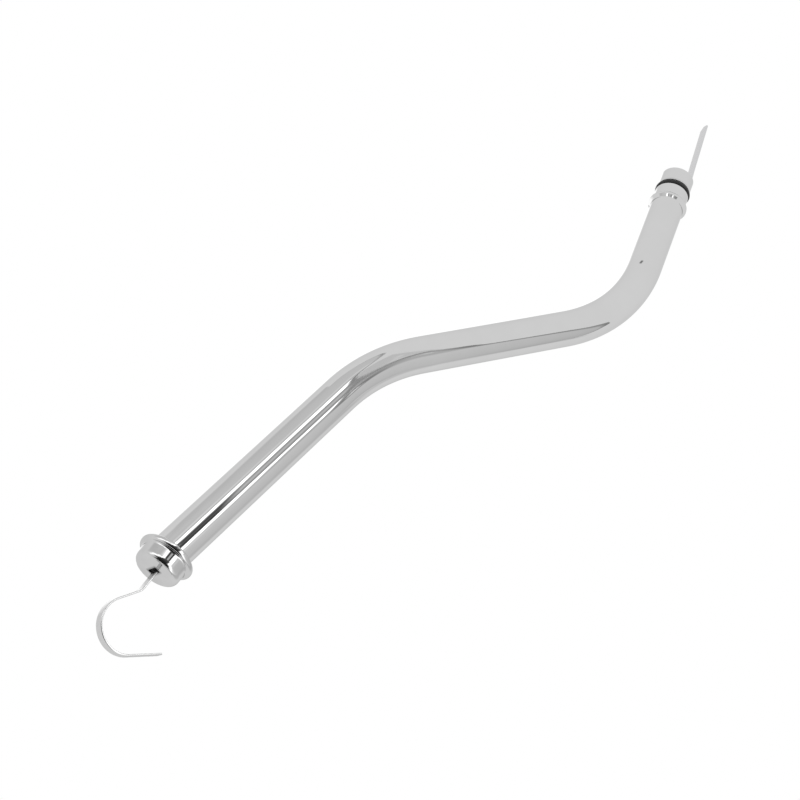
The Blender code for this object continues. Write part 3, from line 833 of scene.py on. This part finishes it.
# The tent's open far end: (angle, x, width of its dark hem, tone of the hem)
TENT_HEM = [
    (-5, -0.010, 0.001, 0.80), (12, -0.004, 0.002, 0.75), (22, 0.050, 0.010, 0.70),
    (36, 0.140, 0.014, 0.55), (47, 0.175, 0.020, 0.45), (57, 0.123, 0.014, 0.55),
    (66, 0.083, 0.012, 0.50), (76, 0.042, 0.012, 0.32), (82, 0.031, 0.012, 0.28),
    (95, 0.027, 0.012, 0.42), (109, 0.032, 0.012, 0.42), (119, 0.037, 0.014, 0.38),
    (123, 0.042, 0.018, 0.42), (127, 0.048, 0.026, 0.50), (129, 0.052, 0.034, 0.52),
    (131, 0.058, 0.040, 0.44), (133, 0.062, 0.030, 0.34), (135, 0.063, 0.028, 0.30),
    (137, 0.065, 0.028, 0.34), (140, 0.067, 0.028, 0.38), (143, 0.072, 0.028, 0.38),
    (154, 0.111, 0.034, 0.38), (161, 0.127, 0.026, 0.45), (172, 0.148, 0.022, 0.38),
    (178, 0.147, 0.022, 0.32), (183, 0.104, 0.012, 0.55), (189, 0.040, 0.004, 0.60)]
# How the hem darkens: (part of its width back from the edge, how much of its own tone it has there). The
# wall's tone is blended in no brighter than HEM_TOP.
HEM_STEPS = [(1.0, 0.0), (0.7, 0.6), (0.4, 1.0), (0.0, 1.0)]
HEM_TOP = 0.85
# The grey lip past the far end, over the roof: (angle, inner x, outer x)
TENT_LIP = [
    (78, 0.040, 0.085), (85, 0.030, 0.076), (95, 0.028, 0.066), (104, 0.030, 0.058),
    (112, 0.034, 0.050), (120, 0.037, 0.046), (127, 0.040, 0.044)]
# The apron on the table by the far wall: (x, y of its edge, width of the soft edge)
TENT_APRON = [
    (-0.66, -0.021, 0.02), (-0.10, -0.021, 0.02), (-0.07, -0.012, 0.02), (-0.052, -0.035, 0.02),
    (-0.036, -0.055, 0.03), (-0.026, -0.099, 0.05), (0.02, -0.145, 0.06), (0.07, -0.19, 0.06),
    (0.12, -0.23, 0.06)]

# Two low cards along the table's sides, as bands of (angle, tone); then their radius, the x where they
# start and the x where they begin to twist, the twist per metre, the x where they end and how long they fade
LOW_CARDS = {"low_left": [(-80, 1.7), (-56, 1.6), (-45, 1.15), (-38, 1.0)],
             "low_right": [(232, 1.0), (246, 0.92), (262, 0.79), (285, 0.79)]}
CARD_R, CARD_TWIST_X, CARD_TWIST_DEG, CARD_END, CARD_FADE = 0.6, (-0.25, 0.25), 21.0, 0.87, 0.03
# The card across the tent's near opening: its x, and bands of (y, tone)
OPENING_X = -0.57
TENT_OPENING = [(-0.6, 0.02), (0.05, 0.02), (0.12, 0.9), (0.6, 0.9)]


def tent_point(x, angle_deg):
    y, z = math.cos(math.radians(angle_deg)), math.sin(math.radians(angle_deg))
    reach = LEFT_WALL / y if y > 0 else RIGHT_WALL / -y
    if z > 0:
        reach = min(reach, ROOF / z)
    return (x, BRIM.y + y * reach, BRIM.z + TENT_RISE + z * reach)


def column(table, angle, k):
    return between(angle, [(row[0], row[k]) for row in table])


def lip_row(angle, inner, outer):
    """Across the lip from inner to outer x: grey, with a streak that shifts with the angle."""
    middle = min(max((120 - angle) / 22, 0.15), 0.85)
    streak = 1.0 if angle > 98 else 0.80
    return [(tent_point(inner + (outer - inner) * part, angle), tone) for part, tone in
            ((0.0, 0.80), (middle - 0.12, 0.80), (middle, streak), (middle + 0.12, 0.80), (1.0, 0.82))]


def apron_row(x, edge, soft):
    """Across the apron at x, from its soft edge to under the far wall."""
    return [((x, y, -0.0005), tone) for y, tone in
            ((edge + soft, 1.0), (edge + 0.6 * soft, 0.93), (edge, 0.79), (edge - 0.022, 0.73),
             (min(edge - 0.03, -0.16), 0.77))]


def card_row(x, bands):
    """Across a low card at x, twisted about the tube's axis."""
    twist = CARD_TWIST_DEG * max(0.0, x - CARD_TWIST_X[-1])
    turns = [math.radians(angle - twist) for angle, _ in bands]
    return [((x, BRIM.y + CARD_R * math.cos(a), BRIM.z + CARD_R * math.sin(a)), tone)
            for a, (_, tone) in zip(turns, bands)]


def build_tent():
    angles = [k / 2 for k in range(2 * FIRST_DEG, 2 * LAST_DEG + 1)]
    rows = [[(tent_point(x, a), between(a, tones)) for a in angles] for x, tones in TENT_ROWS]
    for back, dark in HEM_STEPS:
        rows.append([])
        for a in angles:
            end, hem, tone = (column(TENT_HEM, a, k) for k in (1, 2, 3))
            wall = between(a, TENT_END_TONES)
            toned = wall if dark == 0 else tone + (min(wall, HEM_TOP) - tone) * (1 - dark)
            rows[-1].append((tent_point(end - back * hem, a), toned))
    tent_sheet("tent_box", rows)
    tent_sheet("tent_lip", [lip_row(*row) for row in TENT_LIP])
    tent_sheet("tent_apron", [apron_row(*row) for row in TENT_APRON])
    for name, bands in LOW_CARDS.items():
        tent_sheet("tent_" + name, [card_row(x, bands) for x in (*CARD_TWIST_X, CARD_END)]
                   + [card_row(CARD_END + CARD_FADE, [(a, 1.0) for a, _ in bands])])
    tent_sheet("tent_opening", [[((OPENING_X, BRIM.y + y, BRIM.z + z), tone) for y, tone in TENT_OPENING]
                                for z in (0.0, 0.6)])


def build_floor():
    mesh = bpy.data.meshes.new("studio_floor")
    half = 6.0
    corners = [(-half, -half, 0), (half, -half, 0), (half, half, 0), (-half, half, 0)]
    mesh.from_pydata(corners, [], [range(4)])
    floor = bpy.data.objects.new("studio_floor", mesh)
    bpy.context.scene.collection.objects.link(floor)
    mesh.materials.append(emitter("floor_white", 1.0))
    floor.visible_glossy = False


def build_world():
    studio = bpy.data.worlds.new("studio")
    studio.use_nodes = True
    background = studio.node_tree.nodes["Background"]
    background.inputs["Color"].default_value = (1.0, 1.0, 1.0, 1.0)
    background.inputs["Strength"].default_value = 1.0
    bpy.context.scene.world = studio


def build_camera():
    data = bpy.data.cameras.new("camera")
    data.lens = CAMERA_LENS
    data.sensor_width = CAMERA_SENSOR
    camera = bpy.data.objects.new("camera", data)
    bpy.context.scene.collection.objects.link(camera)
    camera.location = BRIM + Vector(CAMERA_FROM_BRIM)
    camera.rotation_euler = [math.radians(a) for a in CAMERA_TURNS_DEG]
    bpy.context.scene.camera = camera


bpy.context.scene.view_settings.view_transform = "Standard"
build_tube()
build_oring()
build_cap()
hook = build_strip()
spring = build_blade()
build_rivets(hook, spring)
build_floor()
build_world()
build_tent()
build_camera()
